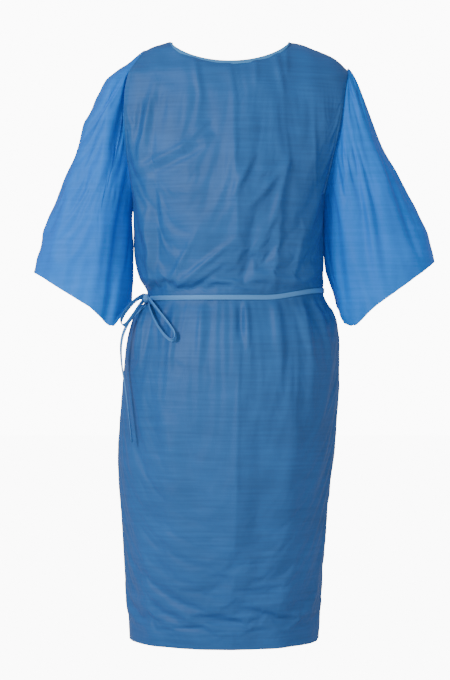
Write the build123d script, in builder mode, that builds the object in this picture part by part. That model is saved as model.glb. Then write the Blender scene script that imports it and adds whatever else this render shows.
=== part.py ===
"""Disposable patient gown in the shape it takes when worn.

Body panels, short sleeves, neck binding, waist belt with its bow, and the folded seams inside.
Units are millimetres. The origin is the middle of the shoulder line at the neck, where the
gown rests on its wearer. +Z is up, the front faces -Y and the wearer's right side is -X.
"""

import os
from math import cos, hypot, pi, radians, sin, tan

from build123d import *

# ---- cloth and clearances ----
cloth = 1.2  # wall of every sheet
ply_gap = 0.6  # air between two overlapping sheets
ply_touch = 0.05  # between a seam's fold and the cloth that it lies on
seam_thick = 1.0  # folded seam allowance
seam_width = 8.0
seam_clear = 0.3  # between the ends of seams that meet
sleeve_gap = 0.6  # between a sleeve and the body at the armhole
belt_gap = 0.4  # between the belt and the body

# ---- body, from the shoulder line down ----
gown_length = 1095.0
waist_drop = 470.0
waist_band = 18.0  # straight stretch under the belt
shoulder_drop = 62.0  # where the shoulder's slope turns into the side
body_width = 446.0  # across the shoulders
body_depth = 302.0  # front to back at the hips
wide = body_width / 446.0  # the sections, armholes, hems and ties are laid out for these sizes
deep = body_depth / 302.0

# ---- neckline ----
neck_open_half = 106.0
neck_drop_front = 48.0
neck_drop_back = 26.0
neck_depth = 76.0  # from the middle of the neck to its front and back edges
binding_width = 7.0
binding_proud = 0.8  # how far the binding stands out from the cloth on each face

# ---- armholes: distance from the middle and height of the top and of the underarm ----
underarm_drop = 285.0
armhole_right = ((198.0 * wide, -46.0), (179.0 * wide, -underarm_drop))
armhole_left = ((214.0 * wide, -56.0), (177.0 * wide, -underarm_drop))

# ---- sleeves: distance and height of the hem's outer and inner corners ----
sleeve_hem_right = ((350.0 * wide, -412.0), (192.0 * wide, -514.0))
sleeve_hem_left = ((364.0 * wide, -392.0), (194.0 * wide, -505.0))

# ---- back opening ----
overlap = 120.0  # how far the left back panel laps over the right one
joggle_width = 3.0  # the step that takes the right panel under the left one

# ---- belt and bow ----
belt_width = 10.0
belt_thick = 1.2
tie_diameter = 5.0  # the flat tie, taken as a round cord
knot_height, knot_width, knot_depth = 17.0, 14.0, 9.0
knot_round = 3.0
knot_clear = 0.05
knot_angle = 197.0  # round the waist: 0 is the wearer's left, 270 the front

# ---- routes of the bow's loops and tail: flat ties, so their points are chosen by hand ----
# Each point is given by x, y and its height above the middle of the belt.
tail_points = [
    (-155.0, -41.0, -12.0),
    (-168.0, -49.0, -24.0),
    (-185.0, -56.0, -43.0),
    (-198.0, -58.0, -75.0),
    (-197.0, -64.0, -115.0),
    (-189.0, -79.0, -158.0),
    (-181.0, -91.0, -208.0),
    (-175.0, -100.0, -258.0),
]
front_loop_points = [
    (-148.0, -52.5, 0.0),
    (-139.0, -77.0, -10.0),
    (-123.0, -101.0, -30.0),
    (-104.0, -120.0, -53.0),
    (-96.0, -127.0, -68.0),
    (-103.0, -127.0, -79.0),
    (-117.0, -118.0, -68.0),
    (-131.0, -101.0, -49.0),
    (-143.0, -77.0, -26.0),
    (-149.0, -52.5, -8.0),
]
side_loop_points = [
    (-157.0, -42.0, 5.0),
    (-168.0, -55.0, 0.0),
    (-181.0, -65.0, -14.0),
    (-193.0, -71.0, -31.0),
    (-198.0, -73.0, -44.0),
    (-190.0, -74.0, -51.0),
    (-180.0, -70.0, -38.0),
    (-170.0, -62.0, -23.0),
    (-163.5, -53.0, -12.0),
    (-157.0, -42.5, -3.0),
]


# ---- sections of the body: height, and how far it reaches right, left, front and back ----
waist_top = waist_band / 2 - waist_drop
waist_low = -waist_band / 2 - waist_drop
chest_low = -underarm_drop - 20.0  # just under the underarms
skirt_rows = [  # share of the way from the belt down to the hem
    (1.065, 181, 164, 131, 127),
    (0.805, 195, 177, 143, 140),
    (0.602, 203, 188, 149, 147),
    (0.399, 207, 199, 152, 150),
    (0.196, 200, 204, 146, 145),
    (0.0, 156, 172, 112, 98),
]
chest_rows = [  # height
    (waist_top, 156, 172, 112, 98),
    (0.513 * waist_top + 0.487 * chest_low, 175, 169, 122, 108),
    (chest_low, 176, 171, 130, 114),
    (chest_low + 85, 196, 196, 124, 110),
    (chest_low + 165, 220, 222, 104, 98),
    (-shoulder_drop, 222, 224, 80, 80),
]
yoke_rows = [  # share of the way from the shoulders up to the shoulder line, and beyond it
    (0.0, 222, 224, 80, 80),
    (0.39, 184, 186, 70, 72),
    (0.81, 132, 132, 62, 64),
    (1.19, 92, 92, 56, 58),
]
chest_drop = 300.0  # sections above this height rise with the wall, so sloping cloth keeps it

# Sections of the sleeves: height, outer and inner distance from the middle, half depth.
sleeve_rows_right = [
    (-560, 372, 186, 82),
    (-460, 362, 182, 78),
    (-360, 336, 180, 73),
    (-260, 307, 164, 67),
    (-160, 272, 150, 60),
    (-90, 242, 158, 48),
    (-45, 214, 186, 26),
]
sleeve_rows_left = [
    (-560, 384, 218, 82),
    (-460, 372, 190, 78),
    (-360, 352, 180, 73),
    (-260, 312, 164, 67),
    (-160, 270, 150, 60),
    (-95, 246, 162, 48),
    (-55, 226, 202, 26),
]

far = 600.0  # beyond the gown sideways, forwards and backwards


def place(point, side):
    """A point given by distance from the middle and height, on side -1 (right) or 1 (left)."""
    return (side * point[0], 0, point[1])


def body_section(row, height, grow):
    """One level section of the body, grown outwards by grow."""
    _, right, left, front, back = row
    with BuildSketch(Plane.XY.offset(height)) as section:
        with Locations((wide * (left - right) / 2, deep * (back - front) / 2)):
            Ellipse(wide * (left + right) / 2 + grow, deep * (front + back) / 2 + grow)
    return section.sketch


def body_form(grow):
    """The closed outer shape of the body, grown outwards by grow."""
    stretches = (  # rows, and the heights that a share of 0 and of 1 stand for
        (skirt_rows, waist_low, -gown_length),
        (chest_rows, 0, 1),
        (yoke_rows, -shoulder_drop, 0),
    )
    with BuildPart() as form:
        for rows, start, end in stretches:
            for row in rows:
                height = start + row[0] * (end - start)
                rise = grow if height > -chest_drop else 0
                add(body_section(row, height + rise, grow))
            loft()
        add(body_section(skirt_rows[-1], waist_low, grow))
        extrude(amount=waist_band)
    return form.part


def sleeve_form(rows, side, grow):
    """The closed outer shape of a sleeve, longer than the sleeve at both ends, grown by grow."""
    with BuildPart() as form:
        for height, outer, inner, depth in rows:
            middle = side * wide * (outer + inner) / 2
            x_half = wide * (outer - inner) / 2 + grow
            y_half = deep * depth + grow
            turns = [radians(30 * i) for i in range(12)]
            with BuildSketch(Plane.XY.offset(height + grow)):
                with BuildLine():
                    ring = [(middle + x_half * cos(a), y_half * sin(a)) for a in turns]
                    Spline(*ring, periodic=True)
                make_face()
        loft()
    return form.part


def neck_cut(grow):
    """The scoop that opens the neck, deeper in front than behind, grown by grow."""
    middle_drop = (neck_drop_front + neck_drop_back) / 2
    slope = (neck_drop_front - neck_drop_back) / (2 * neck_depth)
    across = Plane(origin=(0, -200, -200 * slope), x_dir=(1, 0, 0), z_dir=(0, 1, slope))
    with BuildPart() as cut:
        with BuildSketch(across):
            Ellipse(neck_open_half + grow, middle_drop + grow)
            with Locations((0, -50)):
                Rectangle(2 * (neck_open_half + grow), 100)
        extrude(amount=400)
    return cut.part


def slanted_plane(corners, side, out):
    """The plane through two corners that runs straight back, moved out along its normal."""
    top = Vector(*place(corners[0], side))
    low = Vector(*place(corners[1], side))
    up = (top - low).normalized()
    outward = Vector(0, side, 0).cross(up)
    return Plane(origin=(top + low) / 2 + outward * out, x_dir=Vector(0, side, 0), z_dir=outward)


def slanted_block(corners, side, out, thick, floor=-1.5 * far):
    """A block on the plane through two corners, from out to out + thick along its normal.

    The floor is how far down the plane it reaches, from midway between the corners.
    """
    with BuildPart() as block:
        with BuildSketch(slanted_plane(corners, side, out)):
            with Locations((0, floor)):
                Rectangle(3 * far, 3 * far, align=(Align.CENTER, Align.MIN))
        extrude(amount=thick)
    return block.part


def beyond_armhole(corners, side, out, thick):
    """The block outside an armhole, which ends at the underarm so that the side stays whole."""
    (top_x, top_z), (low_x, low_z) = corners
    return slanted_block(corners, side, out, thick, -hypot(top_x - low_x, top_z - low_z) / 2)


def region(x_low, x_high, y_low, y_high, z_low, z_high):
    """A box between two corners."""
    with BuildPart() as box:
        with Locations(((x_low + x_high) / 2, (y_low + y_high) / 2, (z_low + z_high) / 2)):
            Box(x_high - x_low, y_high - y_low, z_high - z_low)
    return box.part


def ribbon(layout, width):
    """A cord of round section along straight runs and tangent arcs, with its length."""
    points = [(wide * x, deep * y, z - waist_drop) for x, y, z in layout]
    runs = [(Vector(*b) - Vector(*a)) for a, b in zip(points, points[1:])]
    radii = []
    for before, after in zip(runs, runs[1:]):
        turn = radians(before.get_angle(after))
        radii.append(0.45 * min(before.length, after.length) / tan(turn / 2))
    with BuildPart() as cord:
        with BuildLine() as path:
            route = FilletPolyline(*points, radius=radii)
        with BuildSketch(Plane(origin=route @ 0, z_dir=route % 0)):
            Circle(width / 2)
        sweep()
    print("radii", [round(r, 1) for r in radii], "length", round(route.length, 1))
    section = pi * width * width / 4
    print("volume / (section x length)", round(cord.part.volume / (section * route.length), 4))
    return cord.part


skin = body_form(0)
lining = body_form(-cloth)
seam_face = body_form(-cloth - seam_thick)
lap_skin = body_form(-cloth - ply_gap)
lap_lining = body_form(-2 * cloth - ply_gap)
binding_skin = body_form(binding_proud)
binding_lining = body_form(-2 * cloth - ply_gap - binding_proud)

beyond_right = beyond_armhole(armhole_right, -1, 0, far)
beyond_left = beyond_armhole(armhole_left, 1, 0, far)
neck_opening = neck_cut(binding_width)
lap_right, lap_left = -overlap / 2, overlap / 2  # the under panel reaches lap_left

# ---- body panels ----
with BuildPart() as front_panel:
    add(skin)
    add(lining, mode=Mode.SUBTRACT)
    add(region(-far, far, -far, 0, -gown_length, 20), mode=Mode.INTERSECT)
    add(neck_opening, mode=Mode.SUBTRACT)
    add(beyond_right, mode=Mode.SUBTRACT)
    add(beyond_left, mode=Mode.SUBTRACT)

with BuildPart() as back_panel_left:
    add(skin)
    add(lining, mode=Mode.SUBTRACT)
    add(region(lap_right, far, 0, far, -gown_length, 20), mode=Mode.INTERSECT)
    add(neck_opening, mode=Mode.SUBTRACT)
    add(beyond_left, mode=Mode.SUBTRACT)

joggle_edge = lap_right - ply_gap
with BuildPart() as under_lap:
    add(lap_skin)
    add(lap_lining, mode=Mode.SUBTRACT)
    add(region(joggle_edge - joggle_width, lap_left, 0, far, -gown_length, 20), mode=Mode.INTERSECT)

with BuildPart() as joggle:
    add(skin)
    add(lap_lining, mode=Mode.SUBTRACT)
    add(
        region(joggle_edge - joggle_width, joggle_edge, 0, far, -gown_length, 20),
        mode=Mode.INTERSECT,
    )

with BuildPart() as back_panel_right:
    add(skin)
    add(lining, mode=Mode.SUBTRACT)
    add(
        region(-far, joggle_edge - joggle_width, 0, far, -gown_length, 20),
        mode=Mode.INTERSECT,
    )
    add(joggle.part)
    add(under_lap.part)
    add(neck_opening, mode=Mode.SUBTRACT)
    add(beyond_right, mode=Mode.SUBTRACT)

# ---- neck binding: one folded strip round the cut edge ----
with BuildPart() as neck_binding:
    add(binding_skin)
    add(binding_lining, mode=Mode.SUBTRACT)
    add(region(-far, far, -far, far, -200, 8), mode=Mode.INTERSECT)
    add(neck_opening, mode=Mode.INTERSECT)
    add(neck_cut(0), mode=Mode.SUBTRACT)


# ---- sleeves and the folded seams inside them ----
def sleeve(armhole, rows, hem, side):
    """A short sleeve, open at the armhole and at the hem."""
    with BuildPart() as tube:
        add(sleeve_form(rows, side, 0))
        add(sleeve_form(rows, side, -cloth), mode=Mode.SUBTRACT)
        add(slanted_block(armhole, side, sleeve_gap, far), mode=Mode.INTERSECT)
        add(slanted_block(hem, side, 0, far), mode=Mode.SUBTRACT)
    return tube.part


def sleeve_seam(armhole, rows, hem, side):
    """The folded seam along the underside of a sleeve."""
    middle = side * (armhole[1][0] + 40)
    with BuildPart() as strip:
        add(sleeve_form(rows, side, -cloth))
        add(sleeve_form(rows, side, -cloth - seam_thick), mode=Mode.SUBTRACT)
        add(
            region(min(0, middle), max(0, middle), -seam_width / 2, seam_width / 2, -far, -150),
            mode=Mode.INTERSECT,
        )
        add(slanted_block(armhole, side, sleeve_gap, far), mode=Mode.INTERSECT)
        add(slanted_block(hem, side, 0, far), mode=Mode.SUBTRACT)
    return strip.part


sleeves = (
    ("right", armhole_right, sleeve_rows_right, sleeve_hem_right, -1),
    ("left", armhole_left, sleeve_rows_left, sleeve_hem_left, 1),
)
pieces = {
    "front_panel": front_panel.part,
    "back_panel_left": back_panel_left.part,
    "back_panel_right": back_panel_right.part,
    "neck_binding": neck_binding.part,
}
for name, armhole, rows, hem, side in sleeves:
    pieces["sleeve_" + name] = sleeve(armhole, rows, hem, side)
    pieces["sleeve_seam_" + name] = sleeve_seam(armhole, rows, hem, side)


# ---- folded seams of the body, lying on the inside of the cloth ----
def body_seam(box, *cuts):
    """The stretch of the inner seam layer that lies in the box, less the cuts."""
    with BuildPart() as strip:
        add(lining)
        add(seam_face, mode=Mode.SUBTRACT)
        add(box, mode=Mode.INTERSECT)
        for cut in cuts:
            add(cut, mode=Mode.SUBTRACT)
    return strip.part


half = seam_width / 2
for name, armhole, rows, hem, side in sleeves:
    ring = beyond_armhole(armhole, side, -seam_width, seam_width)
    clear = beyond_armhole(armhole, side, -seam_width - seam_clear, far)
    low = armhole[1][1]
    outer = side * far
    x_low, x_high = min(0, outer), max(0, outer)
    pieces["armhole_seam_" + name] = body_seam(ring)
    pieces["side_seam_" + name] = body_seam(
        region(x_low, x_high, -half, half, -gown_length, low + 30), clear
    )
    pieces["shoulder_seam_" + name] = body_seam(
        region(x_low, x_high, -half, half, -110, 20), clear, neck_cut(binding_width + seam_clear)
    )

# ---- belt, its knot and the bow ----
_, waist_right, waist_left, waist_front, waist_back = chest_rows[0]
waist_half = wide * (waist_left + waist_right) / 2
waist_deep = deep * (waist_front + waist_back) / 2
waist_middle = (wide * (waist_left - waist_right) / 2, deep * (waist_back - waist_front) / 2)
belt_inner = belt_gap
belt_outer = belt_gap + belt_thick

with BuildPart() as waist_belt:
    with BuildSketch(Plane.XY.offset(-waist_drop - belt_width / 2)):
        with Locations(waist_middle):
            Ellipse(waist_half + belt_outer, waist_deep + belt_outer)
            Ellipse(waist_half + belt_inner, waist_deep + belt_inner, mode=Mode.SUBTRACT)
    extrude(amount=belt_width)

knot_turn = radians(knot_angle)
knot_foot = Vector(
    waist_middle[0] + (waist_half + belt_outer) * cos(knot_turn),
    waist_middle[1] + (waist_deep + belt_outer) * sin(knot_turn),
    -waist_drop,
)
knot_out = Vector(cos(knot_turn) / waist_half, sin(knot_turn) / waist_deep, 0).normalized()
knot_plane = Plane(origin=knot_foot + knot_out * knot_clear, x_dir=(0, 0, 1), z_dir=knot_out)
with BuildPart() as belt_knot:
    with BuildSketch(knot_plane):
        RectangleRounded(knot_height, knot_width, knot_round)
    extrude(amount=knot_depth)
    fillet(belt_knot.faces().sort_by(Axis(knot_foot, knot_out))[-1].edges(), knot_round)

pieces["waist_belt"] = waist_belt.part
pieces["belt_knot"] = belt_knot.part
pieces["bow_tail"] = ribbon(tail_points, tie_diameter)
pieces["bow_loop_front"] = ribbon(front_loop_points, tie_diameter)
pieces["bow_loop_side"] = ribbon(side_loop_points, tie_diameter)

# ---- one STEP file for each piece ----
os.makedirs("parts", exist_ok=True)
for name, piece in pieces.items():
    piece.label = name
    export_step(piece, "parts/" + name + ".step")
    box = piece.bounding_box()
    print(name, piece.is_valid, len(piece.solids()), round(piece.volume), box)
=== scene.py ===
"""The looks of a disposable patient gown, built round its CAD frame.

Lengths are metres in the frame's own axes: +Z up, the front towards -Y, and the wearer's right
side at -X. The body is a stack of half ovals, one grid for each panel; a sleeve is a stack of
ovals cut at the armhole and at the hem. Folds are added along each surface's normal, and a
short cloth simulation lets the sheets buckle between their seams.
"""

import math

import bpy
import numpy as np
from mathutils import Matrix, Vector


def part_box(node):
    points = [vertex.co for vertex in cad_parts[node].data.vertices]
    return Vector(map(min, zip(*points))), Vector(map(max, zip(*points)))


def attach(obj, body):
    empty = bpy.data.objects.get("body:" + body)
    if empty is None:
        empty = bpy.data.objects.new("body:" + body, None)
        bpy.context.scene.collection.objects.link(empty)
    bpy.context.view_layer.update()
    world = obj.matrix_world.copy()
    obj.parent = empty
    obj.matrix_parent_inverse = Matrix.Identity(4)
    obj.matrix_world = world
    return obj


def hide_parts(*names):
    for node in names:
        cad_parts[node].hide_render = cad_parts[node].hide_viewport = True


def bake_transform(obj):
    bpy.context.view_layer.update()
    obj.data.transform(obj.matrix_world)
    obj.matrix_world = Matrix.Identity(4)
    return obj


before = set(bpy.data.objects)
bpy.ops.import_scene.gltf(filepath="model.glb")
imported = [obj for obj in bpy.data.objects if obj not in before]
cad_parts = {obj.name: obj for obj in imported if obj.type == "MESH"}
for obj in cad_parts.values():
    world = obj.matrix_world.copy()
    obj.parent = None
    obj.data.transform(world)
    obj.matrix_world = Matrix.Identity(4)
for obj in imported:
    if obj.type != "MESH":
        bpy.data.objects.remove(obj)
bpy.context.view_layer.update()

# ---- the body, from the hem up to the neck: height, reach to the right, left, front and back ----
body_rows = np.array(
    [
        (-1.095, 0.185, 0.164, 0.131, 0.127),
        (-1.063, 0.187, 0.166, 0.132, 0.128),
        (-0.997, 0.193, 0.169, 0.137, 0.134),
        (-0.932, 0.197, 0.173, 0.143, 0.140),
        (-0.866, 0.201, 0.178, 0.147, 0.145),
        (-0.801, 0.206, 0.186, 0.151, 0.149),
        (-0.757, 0.207, 0.193, 0.152, 0.150),
        (-0.692, 0.203, 0.198, 0.152, 0.150),
        (-0.626, 0.198, 0.202, 0.150, 0.148),
        (-0.560, 0.192, 0.202, 0.143, 0.142),
        (-0.517, 0.183, 0.198, 0.130, 0.126),
        (-0.495, 0.174, 0.190, 0.121, 0.112),
        (-0.479, 0.158, 0.177, 0.113, 0.099),
        (-0.461, 0.152, 0.172, 0.112, 0.098),
        (-0.430, 0.168, 0.172, 0.118, 0.104),
        (-0.385, 0.177, 0.173, 0.122, 0.108),
        (-0.305, 0.179, 0.174, 0.130, 0.114),
        (-0.220, 0.196, 0.196, 0.124, 0.110),
        (-0.140, 0.220, 0.222, 0.104, 0.098),
        (-0.062, 0.222, 0.224, 0.080, 0.080),
        (-0.038, 0.192, 0.207, 0.070, 0.072),
        (-0.014, 0.160, 0.167, 0.064, 0.066),
        (-0.002, 0.128, 0.130, 0.060, 0.062),
        (0.004, 0.106, 0.106, 0.058, 0.060),
    ]
)
waist = -0.470
belt_rise = 0.015  # how much higher the belt lies on the wearer's left
hem = body_rows[0, 0]
neck_half = 0.1085
neck_drop_front = 0.042
neck_drop_back = 0.024
lap = 0.060  # how far each back panel passes the middle
ply_gap = 0.0022  # how far the back panel that lies underneath sits inwards
tie_width = 0.010

# ---- sleeves: height, outer and inner distance from the middle, half depth ----
sleeve_rows = {
    -1: np.array(
        [
            (-0.560, 0.372, 0.186, 0.080),
            (-0.460, 0.370, 0.180, 0.077),
            (-0.400, 0.357, 0.1795, 0.075),
            (-0.320, 0.335, 0.1800, 0.071),
            (-0.260, 0.312, 0.166, 0.067),
            (-0.200, 0.290, 0.156, 0.063),
            (-0.145, 0.270, 0.150, 0.058),
            (-0.100, 0.252, 0.152, 0.054),
            (-0.078, 0.242, 0.154, 0.050),
            (-0.060, 0.231, 0.156, 0.044),
            (-0.046, 0.210, 0.154, 0.036),
            (-0.032, 0.186, 0.150, 0.026),
            (-0.020, 0.170, 0.148, 0.014),
            (-0.012, 0.160, 0.150, 0.006),
        ]
    ),
    1: np.array(
        [
            (-0.560, 0.388, 0.216, 0.080),
            (-0.460, 0.390, 0.190, 0.077),
            (-0.400, 0.380, 0.175, 0.075),
            (-0.350, 0.368, 0.1755, 0.072),
            (-0.290, 0.339, 0.170, 0.069),
            (-0.240, 0.312, 0.160, 0.066),
            (-0.180, 0.281, 0.152, 0.061),
            (-0.120, 0.258, 0.158, 0.052),
            (-0.080, 0.242, 0.176, 0.042),
            (-0.062, 0.233, 0.190, 0.032),
            (-0.052, 0.226, 0.204, 0.020),
            (-0.045, 0.220, 0.210, 0.006),
        ]
    ),
}
# Armholes: height and distance from the middle, from the underarm up to the shoulder.
armholes = {
    -1: np.array(
        [
            (-0.285, 0.1795),
            (-0.182, 0.1910),
            (-0.109, 0.1930),
            (-0.062, 0.1860),
            (-0.036, 0.1720),
            (-0.015, 0.1565),
        ]
    ),
    1: np.array([(-0.285, 0.1730), (-0.206, 0.1920), (-0.089, 0.2130), (-0.056, 0.2180)]),
}
# Hems of the sleeves: distance from the middle and height, from the inner to the outer side.
sleeve_hems = {
    -1: ((0.176, -0.450), (0.180, -0.466), (0.218, -0.518), (0.256, -0.482), (0.400, -0.390)),
    1: ((0.167, -0.422), (0.211, -0.511), (0.230, -0.517), (0.268, -0.478), (0.400, -0.382)),
}


# ---- shape helpers ----
def through(x, rows, column):
    """A smooth curve through a column of rows, whose slope never overshoots between rows."""
    xs, ys = rows[:, 0], rows[:, column]
    steps = np.diff(xs)
    slopes = np.diff(ys) / steps
    inner = np.where(
        slopes[:-1] * slopes[1:] > 0,
        2 * slopes[:-1] * slopes[1:] / (slopes[:-1] + slopes[1:] + 1e-12),
        0,
    )
    ends = np.concatenate([[slopes[0]], inner, [slopes[-1]]])
    i = np.clip(np.searchsorted(xs, x) - 1, 0, len(steps) - 1)
    h = steps[i]
    t = np.clip((x - xs[i]) / h, 0, 1)
    return (
        ys[i] * (1 + 2 * t) * (1 - t) ** 2
        + ends[i] * h * t * (1 - t) ** 2
        + ys[i + 1] * t**2 * (3 - 2 * t)
        + ends[i + 1] * h * t**2 * (t - 1)
    )


def ramp(x, low, high):
    """0 below low and 1 above high, with a smooth rise between."""
    t = np.clip((x - low) / (high - low), 0, 1)
    return t * t * (3 - 2 * t)


def line_x(side, z):
    """Distance from the middle of the armhole's edge at height z."""
    return through(z, armholes[side], 1)


def edge_x(side, z):
    """Where the body panels end sideways: the side seam, and the armhole above it."""
    reach = through(z, body_rows, 1 if side < 0 else 2)
    return np.where(z > armholes[side][0, 0], np.minimum(reach, line_x(side, z)), reach)


def body_y(x, z, back):
    """How far forwards or backwards the body's half oval lies at a distance x and height z."""
    reach = np.where(x < 0, through(z, body_rows, 1), through(z, body_rows, 2))
    depth = through(z, body_rows, 4 if back else 3)
    round_off = np.sqrt(np.clip(1 - (x / reach) ** 2, 0, 1))
    return depth * round_off if back else -depth * round_off


# The shoulder line: how far out each side reaches at heights from the arm's top to the neck.
shoulder_heights = np.linspace(-0.062, 0.004, 200)
shoulder_right = through(shoulder_heights, body_rows, 1)
shoulder_left = through(shoulder_heights, body_rows, 2)


def top_z(x, back):
    """Height of a panel's top edge: the neck's scoop in the middle, the shoulder line outside.
    The scoop is a half circle's height to the power 1.3, times the neck's drop."""
    drop = neck_drop_back if back else neck_drop_front
    scoop = -drop * np.sqrt(np.clip(1 - (x / neck_half) ** 2, 0, 1)) ** 1.3
    right = np.interp(-x, shoulder_right[::-1], shoulder_heights[::-1])
    left = np.interp(x, shoulder_left[::-1], shoulder_heights[::-1])
    shoulder = np.where(x < 0, right, left)
    return np.where(np.abs(x) < neck_half, np.minimum(scoop, shoulder), shoulder)


def panel_grid(low, high, columns, rows, back, inset=0.0):
    """Points of a body panel, as rows from the hem up and columns from low to high.

    Across, x follows a cosine between the panel's two sides, so that columns crowd at the side
    seams. Up, z runs from the hem to the top edge, in steps that shrink near the shoulder. low
    and high are -1 or 1 for a side seam, or x for a straight free edge. inset moves the whole
    panel inwards along its normal.
    """
    s = np.linspace(0, 1, columns)[None, :]
    t = np.linspace(1, 0, rows)[:, None]
    v = 1 - 1.03 * t * t / (t + 0.03)
    start = 0 if low == -1 else 0.5
    stop = 1 if high == 1 else 0.5
    first, last = np.cos(np.pi * start), np.cos(np.pi * stop)
    spread = (first - np.cos(np.pi * (start + (stop - start) * s))) / (first - last)
    low_corner = top_z(-armholes[-1][-1, 1], back)
    high_corner = top_z(armholes[1][-1, 1], back)
    x_low = -edge_x(-1, hem + (low_corner - hem) * v) if low == -1 else low + 0 * v
    x_high = edge_x(1, hem + (high_corner - hem) * v) if high == 1 else high + 0 * v
    x = x_low + (x_high - x_low) * spread
    z = hem + (top_z(x[-1:], back) - hem) * v
    points = np.stack([x, body_y(x, z, back), z], -1)
    return points - surface_normal(points, back) * inset


def surface_normal(points, flip=False):
    """Unit normals of a grid, from the cross product of its two directions."""
    across = np.gradient(points, axis=1)
    up = np.gradient(points, axis=0)
    n = np.cross(across, up)
    n /= np.maximum(np.linalg.norm(n, axis=-1, keepdims=True), 1e-9)
    return -n if flip else n


def sleeve_grid(side, around, rows):
    """Points of a sleeve tube, as rows from the armhole down and columns round it.

    Each column keeps one angle of the stack of ovals. A fine search finds its highest and
    lowest place that lies outside the armhole's edge and above the hem, and the rows are spread
    between them. Near the armhole the oval is tucked in to meet the body.
    """
    table = sleeve_rows[side]
    phi = np.linspace(0, 2 * np.pi, around)[None, :]
    search_steps = 4000
    z = np.linspace(table[0, 0], table[-1, 0], search_steps)[:, None]
    outer, inner = through(z, table, 1), through(z, table, 2)
    x = (outer + inner) / 2 + (outer - inner) / 2 * np.cos(phi)
    over = x >= line_x(side, z) - 0.001
    above = z >= np.interp(x, *np.array(sleeve_hems[side]).T)
    kept = over & above
    top = np.where(kept, z, -9).max(0)
    low = np.where(kept, z, 9).min(0)
    t = np.linspace(0, 1, rows)[:, None] ** 0.85
    z = low + (top - low) * (1 - t)
    outer, inner, depth = (through(z, table, c) for c in (1, 2, 3))
    x = (outer + inner) / 2 + (outer - inner) / 2 * np.cos(phi)
    tuck = 1 - 0.32 * (1 - ramp(x - line_x(side, z), 0.0, 0.034)) * ramp(-z, 0.02, 0.08)
    y = depth * tuck * np.sin(phi)
    return np.stack([side * x, y, z], -1)


def fold(points, start, end, width, rise, sharp=1.0):
    """Height of one fold: along a straight line seen from the front it swells and dies away
    as a half sine to the power 0.7, and across the line it falls off as a bell whose spread is
    0.8 of the width. sharp above 1 gives it a narrower crest and wider skirts."""
    p = points[..., [0, 2]]
    a, b = np.array(start), np.array(end)
    along = b - a
    t = ((p - a) @ along) / (along @ along)
    d = np.abs((p - a) @ np.array([-along[1], along[0]])) / np.linalg.norm(along)
    body = np.sin(np.pi * np.clip(0.06 + 0.88 * t, 0, 1)) ** 0.7
    return rise * body * np.exp(-((d / (0.8 * width)) ** (2 / sharp)))


def ripple(points, seed, length, stretch, rise):
    """Soft uneven waves: a sum of nine sines whose directions lean about the stretch axis."""
    rng = np.random.default_rng(seed)
    total = 0
    for _ in range(9):
        k = rng.normal(0, 1, 3) * np.array(stretch)
        k *= rng.uniform(0.6, 1.7) * 2 * np.pi / length / max(np.linalg.norm(k), 1e-6)
        total = total + np.sin(points @ k + rng.uniform(0, 6.28)) / 3
    return rise * total


def belt_height(x):
    """Height of the belt at a distance x: level, then rising on the wearer's left."""
    return waist + belt_rise * ramp(x, 0.060, 0.175)


def gathers(points, seed, rise):
    """Small pleats that the belt draws in: sines of the angle round the body, deepest beside
    the belt, that die away with a power of e above and below it."""
    x, y, z = points[..., 0], points[..., 1], points[..., 2]
    away = z - belt_height(x)
    turn = np.arctan2(y, x)
    rng = np.random.default_rng(seed)
    waves = 0
    for count in (23, 31, 44, 57):
        waves = waves + np.sin(count * turn + rng.uniform(0, 6.28) + 6 * away) / 4
    fade = np.exp(-np.clip(away, 0, 1) / 0.035) * (away > 0) + np.exp(away / 0.055) * (away <= 0)
    return rise * waves * fade * (1 - np.exp(-np.abs(away) / 0.006))


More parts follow.
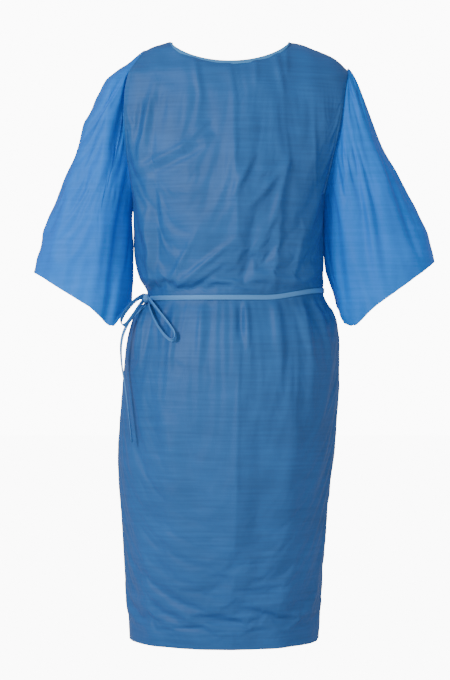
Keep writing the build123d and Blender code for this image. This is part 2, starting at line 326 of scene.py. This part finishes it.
# Folds of the front: start and end as (x, z), width, rise, sharpness. Negative is a valley.
front_folds = [
    ((-0.135, -0.078), (-0.167, -0.231), 0.011, 0.007, 1.0),
    ((-0.160, -0.110), (-0.172, -0.200), 0.008, -0.005, 1.0),
    ((-0.170, -0.238), (-0.088, -0.200), 0.009, 0.006, 1.2),
    ((-0.100, -0.205), (-0.020, -0.176), 0.008, 0.005, 1.2),
    ((-0.091, -0.202), (-0.033, -0.147), 0.007, 0.004, 1.2),
    ((-0.150, -0.245), (-0.050, -0.200), 0.010, -0.005, 1.0),
    ((-0.066, -0.030), (-0.050, -0.118), 0.007, 0.005, 1.2),
    ((0.004, -0.036), (0.020, -0.130), 0.004, -0.004, 1.3),
    ((0.014, -0.036), (0.028, -0.126), 0.004, -0.003, 1.3),
    ((0.045, -0.034), (0.046, -0.088), 0.006, 0.004, 1.2),
    ((0.080, -0.020), (0.096, -0.104), 0.007, 0.005, 1.2),
    ((0.102, -0.014), (0.102, -0.068), 0.005, 0.003, 1.2),
    ((0.153, -0.140), (0.154, -0.320), 0.005, 0.004, 1.6),
    ((0.106, -0.226), (0.034, -0.305), 0.009, 0.006, 1.1),
    ((0.106, -0.226), (0.072, -0.335), 0.009, 0.005, 1.1),
    ((0.106, -0.226), (0.020, -0.262), 0.007, 0.004, 1.1),
    ((0.042, -0.216), (0.002, -0.290), 0.009, 0.006, 1.1),
    ((0.091, -0.286), (0.075, -0.462), 0.011, 0.008, 1.1),
    ((0.048, -0.300), (0.022, -0.460), 0.014, -0.008, 1.0),
    ((-0.147, -0.250), (-0.146, -0.462), 0.008, 0.006, 1.1),
    ((-0.133, -0.255), (-0.134, -0.462), 0.007, -0.006, 1.1),
    ((-0.013, -0.378), (-0.115, -0.464), 0.008, 0.006, 1.1),
    ((-0.060, -0.350), (-0.118, -0.458), 0.008, 0.005, 1.1),
    ((-0.010, -0.410), (-0.080, -0.466), 0.008, -0.004, 1.1),
    ((0.130, -0.330), (0.110, -0.464), 0.010, 0.005, 1.1),
    ((0.004, -0.050), (0.017, -0.466), 0.030, 0.0060, 2.0),
    ((0.017, -0.475), (0.004, -1.095), 0.036, 0.0070, 2.0),
    ((-0.128, -0.274), (0.000, -0.284), 0.0030, 0.0022, 1.6),
    ((0.018, -0.476), (0.018, -0.540), 0.006, -0.008, 1.2),
    ((0.028, -0.474), (0.032, -0.560), 0.007, 0.005, 1.1),
    ((-0.135, -0.560), (-0.072, -0.588), 0.006, 0.003, 1.3),
    ((-0.157, -0.476), (-0.174, -0.575), 0.006, 0.007, 1.1),
    ((-0.150, -0.480), (-0.166, -0.590), 0.006, 0.006, 1.1),
    ((-0.140, -0.474), (-0.130, -0.560), 0.007, -0.005, 1.1),
    ((-0.100, -0.474), (-0.108, -0.600), 0.010, 0.004, 1.0),
    ((-0.050, -0.474), (-0.054, -0.580), 0.010, 0.004, 1.0),
    ((0.080, -0.474), (0.092, -0.600), 0.012, 0.004, 1.0),
    ((0.130, -0.474), (0.152, -0.590), 0.010, 0.004, 1.0),
    ((-0.110, -0.700), (-0.100, -1.090), 0.030, 0.005, 1.0),
    ((0.110, -0.640), (0.095, -1.090), 0.026, 0.006, 1.0),
    ((0.050, -0.700), (0.052, -1.090), 0.022, -0.004, 1.0),
]
# Folds of the back: it hangs from the shoulders and is drawn in by the belt.
back_folds = [
    ((-0.060, -0.030), (-0.052, -0.300), 0.010, 0.006, 1.1),
    ((0.058, -0.030), (0.070, -0.330), 0.011, 0.006, 1.1),
    ((-0.120, -0.060), (-0.090, -0.420), 0.014, 0.006, 1.0),
    ((0.130, -0.070), (0.100, -0.430), 0.014, 0.006, 1.0),
    ((-0.020, -0.200), (-0.015, -0.464), 0.010, -0.005, 1.0),
    ((0.030, -0.260), (0.020, -0.464), 0.010, 0.005, 1.0),
    ((-0.100, -0.480), (-0.120, -0.800), 0.014, 0.006, 1.0),
    ((0.090, -0.480), (0.110, -0.840), 0.016, 0.006, 1.0),
    ((-0.030, -0.480), (-0.036, -0.700), 0.012, 0.005, 1.0),
    ((0.030, -0.480), (0.034, -1.090), 0.020, 0.006, 1.0),
    ((-0.130, -0.760), (-0.135, -1.090), 0.026, 0.006, 1.0),
    ((0.130, -0.720), (0.120, -1.090), 0.024, -0.005, 1.0),
]
sleeve_folds = {
    -1: [
        ((-0.238, -0.080), (-0.292, -0.400), 0.015, 0.012, 1.0),
        ((-0.222, -0.120), (-0.244, -0.430), 0.014, -0.012, 1.0),
        ((-0.189, -0.230), (-0.216, -0.440), 0.013, 0.011, 1.0),
        ((-0.200, -0.380), (-0.230, -0.530), 0.012, 0.009, 1.0),
        ((-0.270, -0.150), (-0.330, -0.420), 0.012, -0.006, 1.0),
        ((-0.216, -0.108), (-0.226, -0.125), 0.006, -0.006, 1.0),
        ((-0.196, -0.090), (-0.204, -0.200), 0.008, 0.006, 1.0),
    ],
    1: [
        ((0.228, -0.092), (0.2275, -0.240), 0.010, 0.010, 1.0),
        ((0.2275, -0.200), (0.252, -0.450), 0.012, 0.010, 1.0),
        ((0.234, -0.100), (0.286, -0.450), 0.013, 0.010, 1.0),
        ((0.224, -0.120), (0.200, -0.340), 0.012, -0.010, 1.0),
        ((0.238, -0.200), (0.268, -0.430), 0.010, -0.007, 1.0),
        ((0.240, -0.100), (0.330, -0.400), 0.012, -0.006, 1.0),
        ((0.246, -0.110), (0.345, -0.390), 0.010, 0.006, 1.0),
        ((0.196, -0.330), (0.206, -0.480), 0.010, 0.009, 1.0),
        ((0.218, -0.086), (0.232, -0.092), 0.006, -0.006, 1.0),
    ],
}


def folded(points, folds, seed, normal, held, belted=False):
    """The surface pushed out along its normals by its folds, ripples and gathers.

    Folds fade where the cloth turns sideways. On a sleeve they are half as high at the back.
    The belt presses everything flat, and held, from 0 to 1, fades it out at the seams.
    """
    facing = ramp(np.abs(normal[..., 1]), 0.05, 0.45)
    if not belted:
        facing = ramp(-normal[..., 1], 0.05, 0.45) + 0.5 * ramp(normal[..., 1], 0.05, 0.45)
    rise = sum(fold(points, *f) for f in folds) * facing
    rise = rise + ripple(points, seed, 0.11, (1, 1, 0.35), 0.0022)
    rise = rise + ripple(points, seed + 1, 0.045, (1, 1, 0.5), 0.0009)
    if belted:
        away = points[..., 2] - belt_height(points[..., 0])
        rise = rise + gathers(points, 7, 0.0018)
        rise = rise * (1 - 0.9 * np.exp(-((away / 0.012) ** 2)))
    return points + normal * (rise * (1 - held))[..., None]


def near_edges(points, first_column, last_column, first_row, last_row, reach=0.012):
    """1 on the chosen edges of a grid, falling to 0 within a reach of them."""
    across = np.linalg.norm(np.diff(points, axis=1), axis=-1)
    up = np.linalg.norm(np.diff(points, axis=0), axis=-1)
    across = np.concatenate([np.zeros((len(points), 1)), across.cumsum(1)], 1)
    up = np.concatenate([np.zeros((1, points.shape[1])), up.cumsum(0)], 0)
    held = np.zeros(points.shape[:2])
    if first_column:
        held = np.maximum(held, 1 - ramp(across, 0, reach))
    if last_column:
        held = np.maximum(held, 1 - ramp(across[:, -1:] - across, 0, reach))
    if first_row:
        held = np.maximum(held, 1 - ramp(up, 0, reach))
    if last_row:
        held = np.maximum(held, 1 - ramp(up[-1:] - up, 0, reach))
    return held


# ---- meshes ----
def grid_mesh(name, points, closed=False):
    """A sheet of quads from a grid of points."""
    rows, columns = points.shape[:2]
    if closed:
        points = points[:, :-1]
        columns -= 1
    i = np.arange(rows - 1)[:, None] * columns
    j = np.arange(columns if closed else columns - 1)[None, :]
    k = (j + 1) % columns
    quads = np.stack([i + j, i + k, i + columns + k, i + columns + j], -1).reshape(-1, 4)
    mesh = bpy.data.meshes.new(name)
    mesh.from_pydata(points.reshape(-1, 3), [], quads)
    mesh.polygons.foreach_set("use_smooth", np.ones(len(quads), bool))
    piece = bpy.data.objects.new(name, mesh)
    bpy.context.collection.objects.link(piece)
    return piece


def flip_to(piece, outward):
    """Turns a sheet over if its middle face doesn't point the outward way."""
    n = np.zeros(len(piece.data.polygons) * 3)
    piece.data.polygons.foreach_get("normal", n)
    if (n.reshape(-1, 3).mean(0) @ np.array(outward)) < 0:
        piece.data.flip_normals()


def smooth(piece):
    """One level of subdivision, the same when edited and when finished."""
    finer = piece.modifiers.new("smooth", "SUBSURF")
    finer.levels = 1
    finer.render_levels = 1


def settle(piece, held, frames=10, grow=0.010, soft=0.15):
    """Lets a sheet buckle for a moment: its threads grow a little, it is fixed where held is 1,
    and elsewhere a weak pull keeps it near its place."""
    levels = np.round((soft + (1 - soft) * held.ravel()) * 20).astype(int)
    group = piece.vertex_groups.new(name="held")
    for level in np.unique(levels):
        group.add(np.flatnonzero(levels == level).tolist(), level / 20, "REPLACE")
    cloth = piece.modifiers.new("cloth", "CLOTH")
    cloth.settings.quality = 3
    cloth.settings.mass = 0.05
    cloth.settings.tension_stiffness = 8
    cloth.settings.compression_stiffness = 8
    cloth.settings.shear_stiffness = 3
    cloth.settings.bending_stiffness = 0.02
    cloth.settings.air_damping = 4
    cloth.settings.vertex_group_mass = "held"
    cloth.settings.pin_stiffness = 0.6
    cloth.settings.shrink_min = -grow
    cloth.settings.shrink_max = -grow
    cloth.collision_settings.use_collision = False
    cloth.point_cache.frame_end = frames
    for frame_number in range(1, frames + 1):
        bpy.context.scene.frame_set(frame_number)
    settled = bpy.data.meshes.new_from_object(piece.evaluated_get(bpy.context.evaluated_depsgraph_get()))
    piece.modifiers.clear()
    piece.vertex_groups.clear()
    co = np.zeros(len(settled.vertices) * 3, np.float32)
    settled.vertices.foreach_get("co", co)
    piece.data.vertices.foreach_set("co", co)
    piece.data.update()
    bpy.context.scene.frame_set(1)


# ---- materials ----
def nonwoven_pattern():
    """Node group: the uneven density of pressed fibres, with a fine rib that runs across the
    cloth. It gives a colour and the height of the surface."""
    group = bpy.data.node_groups.new("nonwoven", "ShaderNodeTree")
    group.interface.new_socket("Colour", in_out="INPUT", socket_type="NodeSocketColor")
    group.interface.new_socket("Contrast", in_out="INPUT", socket_type="NodeSocketFloat")
    group.interface.new_socket("Colour", in_out="OUTPUT", socket_type="NodeSocketColor")
    group.interface.new_socket("Height", in_out="OUTPUT", socket_type="NodeSocketFloat")
    nodes, links = group.nodes, group.links
    given = nodes.new("NodeGroupInput")
    made = nodes.new("NodeGroupOutput")
    where = nodes.new("ShaderNodeTexCoord")

    def noise(scale, stretch, detail):
        mapping = nodes.new("ShaderNodeMapping")
        mapping.inputs["Scale"].default_value = stretch
        texture = nodes.new("ShaderNodeTexNoise")
        texture.inputs["Scale"].default_value = scale
        texture.inputs["Detail"].default_value = detail
        links.new(where.outputs["Object"], mapping.inputs["Vector"])
        links.new(mapping.outputs["Vector"], texture.inputs["Vector"])
        return texture.outputs["Fac"]

    def sum_of(first, weight, second):
        joined = nodes.new("ShaderNodeMath")
        joined.operation = "MULTIPLY_ADD"
        joined.inputs[1].default_value = weight
        links.new(first, joined.inputs[0])
        links.new(second, joined.inputs[2])
        return joined.outputs[0]

    clouds = noise(16, (0.6, 0.6, 1.0), 4)
    ribs = noise(230, (0.05, 0.05, 1.0), 1)
    fibres = noise(900, (1.0, 1.0, 1.0), 3)
    density = sum_of(ribs, 0.8, clouds)
    spread = nodes.new("ShaderNodeMapRange")
    spread.inputs["From Min"].default_value = 0.6
    spread.inputs["From Max"].default_value = 1.2
    spread.inputs["To Min"].default_value = -0.5
    spread.inputs["To Max"].default_value = 0.5
    links.new(density, spread.inputs["Value"])
    change = nodes.new("ShaderNodeMath")
    change.operation = "MULTIPLY_ADD"
    change.inputs[2].default_value = 1.0
    links.new(spread.outputs["Result"], change.inputs[0])
    links.new(given.outputs["Contrast"], change.inputs[1])
    tone = nodes.new("ShaderNodeVectorMath")
    tone.operation = "SCALE"
    links.new(given.outputs["Colour"], tone.inputs[0])
    links.new(change.outputs[0], tone.inputs["Scale"])
    links.new(tone.outputs["Vector"], made.inputs["Colour"])
    links.new(sum_of(ribs, 1.0, fibres), made.inputs["Height"])
    return group


pattern = nonwoven_pattern()


def shade(name, sheen_painted_facing_colour, shade_painted_edge_colour, contrast, glow):
    """Thin nonwoven cloth: matte with a faint sheen, and glow is the share of light that bleeds through
    it.
    Its colour holds painted light: a painted sheen makes it greyer where it faces the eye, and painted
    shade makes it deeper where it turns away."""
    material = bpy.data.materials.new(name)
    material.use_nodes = True
    nodes, links = material.node_tree.nodes, material.node_tree.links
    cloth = nodes["Principled BSDF"]
    out = nodes["Material Output"]
    cloth.inputs["Roughness"].default_value = 0.52
    cloth.inputs["Sheen Weight"].default_value = 0.06
    cloth.inputs["Specular IOR Level"].default_value = 0.22
    # Painted light: the facing colour carries a painted sheen and the edge colour a painted shade, mixed
    # by the view angle.
    turn = nodes.new("ShaderNodeLayerWeight")
    turn.inputs["Blend"].default_value = 0.45
    painted_light_tint = nodes.new("ShaderNodeMix")
    painted_light_tint.data_type = "RGBA"
    painted_light_tint.inputs["A"].default_value = (*sheen_painted_facing_colour, 1)
    painted_light_tint.inputs["B"].default_value = (*shade_painted_edge_colour, 1)
    look = nodes.new("ShaderNodeGroup")
    look.node_tree = pattern
    look.inputs["Contrast"].default_value = contrast
    bump = nodes.new("ShaderNodeBump")
    bump.inputs["Strength"].default_value = 0.30
    bump.inputs["Distance"].default_value = 0.0005
    bleed = nodes.new("ShaderNodeBsdfTranslucent")
    mix = nodes.new("ShaderNodeMixShader")
    mix.inputs[0].default_value = glow
    links.new(turn.outputs["Facing"], painted_light_tint.inputs["Factor"])
    links.new(painted_light_tint.outputs["Result"], look.inputs["Colour"])
    links.new(look.outputs["Colour"], cloth.inputs["Base Color"])
    links.new(look.outputs["Colour"], bleed.inputs["Color"])
    links.new(look.outputs["Height"], bump.inputs["Height"])
    links.new(bump.outputs["Normal"], cloth.inputs["Normal"])
    links.new(cloth.outputs["BSDF"], mix.inputs[1])
    links.new(bleed.outputs["BSDF"], mix.inputs[2])
    links.new(mix.outputs["Shader"], out.inputs["Surface"])
    return material


# Each cloth: a greyer facing colour with painted sheen, a deeper edge colour with painted shade, the
# fibres' contrast, and glow.
looks = {
    "body_cloth": shade("body_cloth", (0.034, 0.140, 0.385), (0.004, 0.085, 0.330), 0.26, 0.15),
    "sleeve_cloth": shade("sleeve_cloth", (0.022, 0.262, 0.860), (0.004, 0.160, 0.680), 0.20, 0.30),
    "binding_tape": shade("binding_tape", (0.090, 0.300, 0.620), (0.050, 0.240, 0.560), 0.15, 0.15),
    "tie_tape": shade("tie_tape", (0.110, 0.330, 0.700), (0.040, 0.220, 0.580), 0.15, 0.20),
}


def dress(piece, slot_name):
    """Gives a piece the material of its slot."""
    piece.data.materials.append(looks[slot_name])


# ---- body panels ----
def panel(name, low, high, columns, rows, back, folds, seed, inset=0.0):
    """One body panel: its grid, its folds, and a moment of cloth simulation."""
    points = panel_grid(low, high, columns, rows, back, inset)
    normal = surface_normal(points, back)
    held = near_edges(points, abs(low) == 1, abs(high) == 1, first_row=False, last_row=True)
    points = folded(points, folds, seed, normal, held, belted=True)
    piece = grid_mesh(name, points)
    flip_to(piece, (0, 1 if back else -1, 0))
    away = points[..., 2] - belt_height(points[..., 0])
    belt_hold = np.exp(-((away / 0.010) ** 2))
    shoulder_hold = ramp(points[..., 2], -0.13, -0.05)
    hem_hold = 0.4 * (1 - ramp(points[..., 2], hem, hem + 0.05))
    settle(piece, np.maximum.reduce([held, belt_hold, shoulder_hold, hem_hold]))
    smooth(piece)
    dress(piece, "body_cloth")
    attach(piece, "trunk")
    return piece


front = panel("front_cloth", -1, 1, columns=130, rows=230, back=False, folds=front_folds, seed=3)
back_left = panel(
    "back_left_cloth", -lap, 1, columns=80, rows=200, back=True, folds=back_folds, seed=21
)
back_right = panel(
    "back_right_cloth", -1, lap, columns=80, rows=200, back=True, folds=back_folds, seed=33,
    inset=ply_gap,
)
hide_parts("front_panel")
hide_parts("back_panel_left")
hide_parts("back_panel_right")


# ---- sleeves ----
def sleeve(side, name):
    """One short sleeve: a tube cut at the armhole and the hem, folded and settled."""
    points = sleeve_grid(side, around=121, rows=100)
    normal = surface_normal(points, side < 0)
    held = near_edges(points, False, False, first_row=True, last_row=False, reach=0.02)
    points = folded(points, sleeve_folds[side], 50 + side, normal, held)
    piece = grid_mesh(name, points, closed=True)
    settle(piece, held[:, :-1], grow=0.006)
    smooth(piece)
    dress(piece, "sleeve_cloth")
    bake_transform(piece)
    return piece


sleeve_right = sleeve(-1, "right_sleeve_cloth")
sleeve_left = sleeve(1, "left_sleeve_cloth")
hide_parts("sleeve_right")
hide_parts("sleeve_left")


# ---- neck binding ----
def binding_strip(x, back, inset=0.0):
    """A folded strip along the neck's edge, from inside over the edge to the outside. Each step
    is a distance down the cloth and a distance out from it."""
    width = 0.007
    steps = ((width, -0.0009), (0.0, -0.0010), (-0.0012, 0.0), (0.0, 0.0014), (width, 0.0012))
    edge = top_z(x, back)
    below = np.stack([x, body_y(x, edge - width, back), edge - width], -1)
    rim = np.stack([x, body_y(x, edge, back), edge], -1)
    down_way = (below - rim) / np.linalg.norm(below - rim, axis=-1, keepdims=True)
    along = np.gradient(rim, axis=0)
    normal = np.cross(along, -down_way)
    normal /= np.linalg.norm(normal, axis=-1, keepdims=True)
    normal = -normal if back else normal
    return np.stack([rim + down_way * down + normal * (out - inset) for down, out in steps])


spread = neck_half * np.cos(np.linspace(np.pi, 0, 121))
binding_parts = [
    grid_mesh("binding_front", binding_strip(spread, False)),
    grid_mesh("binding_back_left", binding_strip(spread[spread > -lap], True)),
    grid_mesh("binding_back_right", binding_strip(spread[spread < lap], True, ply_gap)),
]
with bpy.context.temp_override(
    active_object=binding_parts[0],
    object=binding_parts[0],
    selected_objects=binding_parts,
    selected_editable_objects=binding_parts,
):
    bpy.ops.object.join()
binding = binding_parts[0]
binding.name = "neck_binding_tape"
dress(binding, "binding_tape")
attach(binding, "trunk")
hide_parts("neck_binding")


# ---- folded seams inside ----
def seam(name, edge, across, body, slot_name, *nodes):
    """A folded seam: a flat strip 8 mm wide, centred on an edge and running across it."""
    across = np.broadcast_to(np.array(across, float), edge.shape)
    across = across / np.linalg.norm(across, axis=-1, keepdims=True)
    points = np.stack([edge + across * w for w in np.linspace(-0.004, 0.004, 4)])
    piece = grid_mesh(name, points)
    thick = piece.modifiers.new("thickness", "SOLIDIFY")
    thick.thickness = 0.0005
    dress(piece, slot_name)
    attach(piece, body)
    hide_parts(*nodes)


for side, word in ((-1, "right"), (1, "left")):
    z_low = armholes[side][0, 0]
    z_top, x_top = armholes[side][-1]

    # Side seam, from the hem to the underarm.
    z = np.linspace(hem + 0.002, z_low - 0.004, 260)
    edge = np.stack([side * (edge_x(side, z) - 0.0045), 0 * z, z], -1)
    seam("side_seam_strip_" + word, edge, (0, 1, 0), "trunk", "body_cloth", "side_seam_" + word)

    # Shoulder seam, from the neck to the top of the armhole.
    x = np.linspace(neck_half + 0.004, x_top - 0.004, 60)
    edge = np.stack([side * x, 0 * x, top_z(side * x, False) - 0.003], -1)
    seam("shoulder_seam_strip_" + word, edge, (0, 1, 0), "trunk", "body_cloth", "shoulder_seam_" + word)

    # Armhole seam, up the front and down the back, just inside the cloth.
    rise = np.linspace(z_low + 0.006, z_top - 0.006, 70)
    z = np.concatenate([rise, rise[::-1]])
    behind = np.arange(len(z)) >= len(rise)
    x = side * (line_x(side, z) - 0.006)
    y = np.where(behind, body_y(x, z, True) - 0.0025, body_y(x, z, False) + 0.0025)
    edge = np.stack([x, y, z], -1)
    seam("armhole_seam_strip_" + word, edge, (1, 0, 0), "trunk", "body_cloth", "armhole_seam_" + word)

    # Underarm seam of the sleeve, from its hem to the armhole.
    z = np.linspace(sleeve_hems[side][0][1] + 0.006, z_low - 0.03, 60)
    edge = np.stack([side * (through(z, sleeve_rows[side], 2) + 0.0022), 0 * z, z], -1)
    seam(
        "sleeve_seam_strip_" + word, edge, (0, 1, 0), word + "_sleeve", "sleeve_cloth",
        "sleeve_seam_" + word,
    )


# ---- belt ----
# A flat band that follows the body's oval, a little proud of it and rounded at its edges.
belt_half = 0.0045
belt_reach = 0.172
turn = np.linspace(0, 2 * np.pi, 241)
belt_rows = []
for up in (-belt_half, -0.003, 0.003, belt_half):
    x_way, y_way = np.cos(turn), np.sin(turn)
    level = belt_height(belt_reach * x_way)
    proud = 0.0030 - 0.0006 * abs(up) / belt_half
    reach = np.where(x_way < 0, through(level, body_rows, 1), through(level, body_rows, 2)) + proud
    depth = np.where(y_way < 0, through(level, body_rows, 3), through(level, body_rows, 4)) + proud
    belt_rows.append(np.stack([reach * x_way, depth * y_way, level + up], -1))
belt = grid_mesh("belt_tie", np.stack(belt_rows), closed=True)
thick = belt.modifiers.new("thickness", "SOLIDIFY")
thick.thickness = 0.0007
dress(belt, "tie_tape")
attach(belt, "trunk")
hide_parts("waist_belt")

# ---- knot and bow ----
tail_route = [
    (-0.155, -0.041, -0.482),
    (-0.168, -0.049, -0.494),
    (-0.185, -0.056, -0.513),
    (-0.198, -0.058, -0.545),
    (-0.197, -0.064, -0.585),
    (-0.189, -0.079, -0.628),
    (-0.181, -0.091, -0.678),
    (-0.175, -0.100, -0.728),
]
front_loop_route = [
    (-0.148, -0.0525, -0.470),
    (-0.139, -0.077, -0.480),
    (-0.123, -0.101, -0.500),
    (-0.104, -0.120, -0.523),
    (-0.096, -0.127, -0.538),
    (-0.103, -0.127, -0.549),
    (-0.117, -0.118, -0.538),
    (-0.131, -0.101, -0.519),
    (-0.143, -0.077, -0.496),
    (-0.149, -0.0525, -0.478),
]
side_loop_route = [
    (-0.157, -0.042, -0.465),
    (-0.168, -0.055, -0.470),
    (-0.181, -0.065, -0.484),
    (-0.193, -0.071, -0.501),
    (-0.198, -0.073, -0.514),
    (-0.190, -0.074, -0.521),
    (-0.180, -0.070, -0.508),
    (-0.170, -0.062, -0.493),
    (-0.1635, -0.053, -0.482),
    (-0.157, -0.0425, -0.473),
]


def line_through(points):
    """Points along the smooth NURBS line that the control points shape."""
    data = bpy.data.curves.new("line", "CURVE")
    data.dimensions = "3D"
    data.resolution_u = 10
    spline = data.splines.new("NURBS")
    spline.points.add(len(points) - 1)
    spline.points.foreach_set("co", [c for p in points for c in (*p, 1)])
    spline.order_u = 3
    spline.use_endpoint_u = True
    curve = bpy.data.objects.new("line", data)
    bpy.context.collection.objects.link(curve)
    bpy.context.view_layer.update()
    mesh = bpy.data.meshes.new_from_object(curve)
    co = np.zeros(len(mesh.vertices) * 3)
    mesh.vertices.foreach_get("co", co)
    bpy.data.objects.remove(curve)
    bpy.data.meshes.remove(mesh)
    return co.reshape(-1, 3)


def tie(name, route, flat_way, twist, body, node, far_end, length):
    """A flat tie along a route: its width leans along flat_way, square to the line, and turns
    by twist on its way, and it is slightly cupped."""
    path = line_through(route)
    way = np.gradient(path, axis=0)
    way /= np.linalg.norm(way, axis=-1, keepdims=True)
    wide = np.array(flat_way, float) - way * (way @ np.array(flat_way, float))[:, None]
    wide /= np.linalg.norm(wide, axis=-1, keepdims=True)
    up = np.cross(way, wide)
    angle = np.linspace(0, twist, len(path))[:, None]
    wide, up = wide * np.cos(angle) + up * np.sin(angle), up * np.cos(angle) - wide * np.sin(angle)
    across = np.linspace(-0.5, 0.5, 7)
    points = np.stack([path + wide * tie_width * u + up * 0.0012 * (1 - 4 * u * u) for u in across])
    piece = grid_mesh(name, points)
    thick = piece.modifiers.new("thickness", "SOLIDIFY")
    thick.thickness = 0.0005
    thick.offset = 0
    dress(piece, "tie_tape")
    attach(piece, body)
    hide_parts(node)
    return piece


# Each tie: name, route, flat way, twist, body, CAD node, far end and length.
side_way = (-0.3, -0.8, 0.5)
front_way = (0.1, -0.8, 0.5)
tail_way = (0.9, -0.44, 0.1)
ties = (
    ("bow_tail_tie", tail_route, tail_way, 1.3, "tail", "bow_tail", "bare", 0.269),
    ("front_loop_tie", front_loop_route, front_way, 0, "front_loop", "bow_loop_front", "object", 0.240),
    ("side_loop_tie", side_loop_route, side_way, 0, "trunk", "bow_loop_side", "object", 0.149),
)
for ribbon in ties:
    tie(*ribbon)


def power(wave, exponent):
    """A wave raised to a power that keeps its sign, which squares off a circle."""
    return np.sign(wave) * np.abs(wave) ** exponent


def knot():
    """The knot: a squared-off ball round the middle of its CAD box, with one soft pinch across
    it where the tie passes over itself."""
    knot_low, knot_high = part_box("belt_knot")
    centre = np.array((knot_low + knot_high) / 2)
    half_width = 0.0078
    half_height = 0.0090
    u = np.linspace(0, 2 * np.pi, 49)[None, :]
    v = np.linspace(-np.pi / 2, np.pi / 2, 33)[:, None]
    pinch = 1 - 0.16 * np.exp(-((np.sin(v) - 0.25) / 0.16) ** 2) * np.abs(np.cos(u / 2 + 0.6))
    x = half_width * power(np.cos(u), 0.8) * np.cos(v) * pinch
    y = half_width * power(np.sin(u), 0.8) * np.cos(v) * pinch
    z = half_height * np.sin(v) + 0 * u
    piece = grid_mesh("knot_tie", centre + np.stack([x, y, z], -1), closed=True)
    dress(piece, "tie_tape")
    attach(piece, "trunk")
    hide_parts("belt_knot")


knot()

# ---- stage, camera and light ----
def paper_floor():
    """A wide sheet of white paper just below the hem, which glows to the eye and is plain matt
    paper to the light."""
    bpy.ops.mesh.primitive_plane_add(size=14, location=(0, 0, hem - 0.02))
    floor = bpy.context.object
    floor.name = "floor"
    paper = bpy.data.materials.new("paper")
    paper.use_nodes = True
    nodes, links = paper.node_tree.nodes, paper.node_tree.links
    matt = nodes["Principled BSDF"]
    matt.inputs["Base Color"].default_value = (0.9, 0.9, 0.9, 1)
    seen = nodes.new("ShaderNodeLightPath")
    share = nodes.new("ShaderNodeMath")
    share.operation = "MULTIPLY"
    share.inputs[1].default_value = 0.85
    bright = nodes.new("ShaderNodeEmission")
    bright.inputs["Strength"].default_value = 12
    mix = nodes.new("ShaderNodeMixShader")
    links.new(seen.outputs["Is Camera Ray"], share.inputs[0])
    links.new(share.outputs[0], mix.inputs[0])
    links.new(matt.outputs["BSDF"], mix.inputs[1])
    links.new(bright.outputs["Emission"], mix.inputs[2])
    links.new(mix.outputs["Shader"], nodes["Material Output"].inputs["Surface"])
    floor.data.materials.append(paper)


def white_room():
    """An even white surround: soft light for the cloth, and bright white to the eye."""
    world = bpy.data.worlds.new("room")
    bpy.context.scene.world = world
    world.use_nodes = True
    nodes, links = world.node_tree.nodes, world.node_tree.links
    seen = nodes.new("ShaderNodeLightPath")
    light = nodes.new("ShaderNodeMapRange")
    light.inputs["To Min"].default_value = 0.62
    light.inputs["To Max"].default_value = 11.0
    links.new(seen.outputs["Is Camera Ray"], light.inputs["Value"])
    links.new(light.outputs["Result"], nodes["Background"].inputs["Strength"])
    nodes["Background"].inputs["Color"].default_value = (1, 1, 1, 1)


def lamp(name, place, aim, size, power):
    """A soft square light at a place, turned to a point."""
    data = bpy.data.lights.new(name, "AREA")
    data.size = size
    data.energy = power
    light = bpy.data.objects.new(name, data)
    light.location = place
    light.rotation_euler = (Vector(aim) - Vector(place)).to_track_quat("-Z", "Y").to_euler()
    bpy.context.collection.objects.link(light)


paper_floor()
white_room()
lamp("key", (-1.7, -1.9, 0.6), (0, 0, -0.45), 0.7, 52)
lamp("fill", (1.6, -2.4, -0.2), (0, 0, -0.5), 1.4, 8)

camera = bpy.data.objects.new("camera", bpy.data.cameras.new("camera"))
camera.location = (-0.009, -3.14, -0.546)
camera.rotation_euler = (math.radians(90), 0, 0)
camera.data.lens = 90
bpy.context.collection.objects.link(camera)
bpy.context.scene.camera = camera
